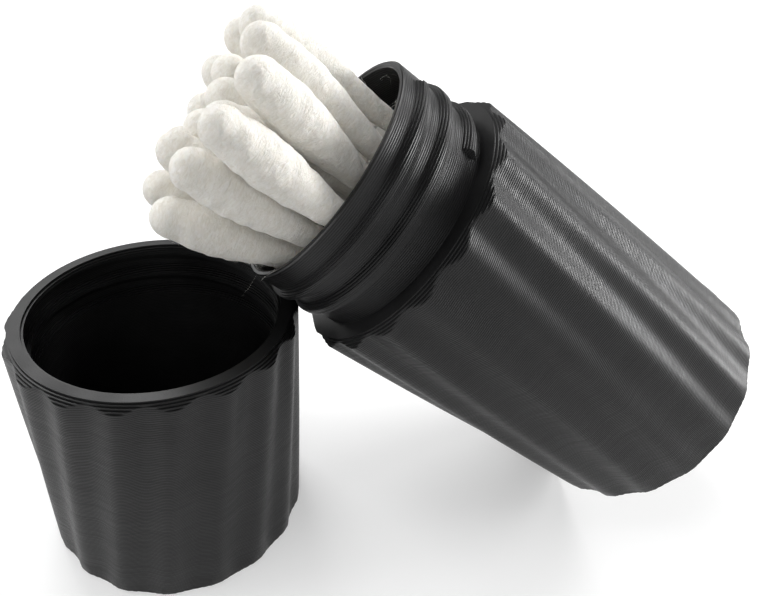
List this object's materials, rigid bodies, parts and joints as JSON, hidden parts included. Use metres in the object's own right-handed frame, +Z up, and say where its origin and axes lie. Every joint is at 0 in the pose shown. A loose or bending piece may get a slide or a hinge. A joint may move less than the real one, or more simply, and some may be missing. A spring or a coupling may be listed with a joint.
{
  "type": "travel cotton swab case",
  "caption": "Open travel case for cotton swabs: a fluted, threaded tube leans on its upturned screw cap with the swabs fanned out of its mouth.",
  "frame": {"origin": "middle of the screw cap's flat closed end, on the floor it stands on", "axes": "+Z up, along the cap's axis; +X level, from the cap towards the foot of the leaning case; +Y level, away from the side the case is seen from"},
  "size_m": [0.0968, 0.0412, 0.0668],
  "materials": {
    "case_plastic": "satin, in fine layers",
    "cap_plastic": "satin, in fine layers",
    "stick_paper": "matte",
    "cotton": "soft fibre"
  },
  "bodies": {
    "root": {"case_tube": "case_plastic", "screw_cap": "cap_plastic", "swab_stick_1": "stick_paper", "swab_stick_2": "stick_paper", "swab_stick_3": "stick_paper", "swab_stick_4": "stick_paper", "swab_stick_5": "stick_paper", "swab_stick_6": "stick_paper", "swab_stick_7": "stick_paper", "swab_stick_8": "stick_paper", "swab_stick_9": "stick_paper", "swab_stick_10": "stick_paper", "swab_stick_11": "stick_paper", "swab_stick_12": "stick_paper", "swab_stick_13": "stick_paper", "swab_stick_14": "stick_paper", "swab_stick_15": "stick_paper", "swab_stick_16": "stick_paper", "swab_cotton_1": "cotton", "swab_cotton_2": "cotton", "swab_cotton_3": "cotton", "swab_cotton_4": "cotton", "swab_cotton_5": "cotton", "swab_cotton_6": "cotton", "swab_cotton_7": "cotton", "swab_cotton_8": "cotton", "swab_cotton_9": "cotton", "swab_cotton_10": "cotton", "swab_cotton_11": "cotton", "swab_cotton_12": "cotton", "swab_cotton_13": "cotton", "swab_cotton_14": "cotton", "swab_cotton_15": "cotton", "swab_cotton_16": "cotton"}
  },
  "joints": []
}
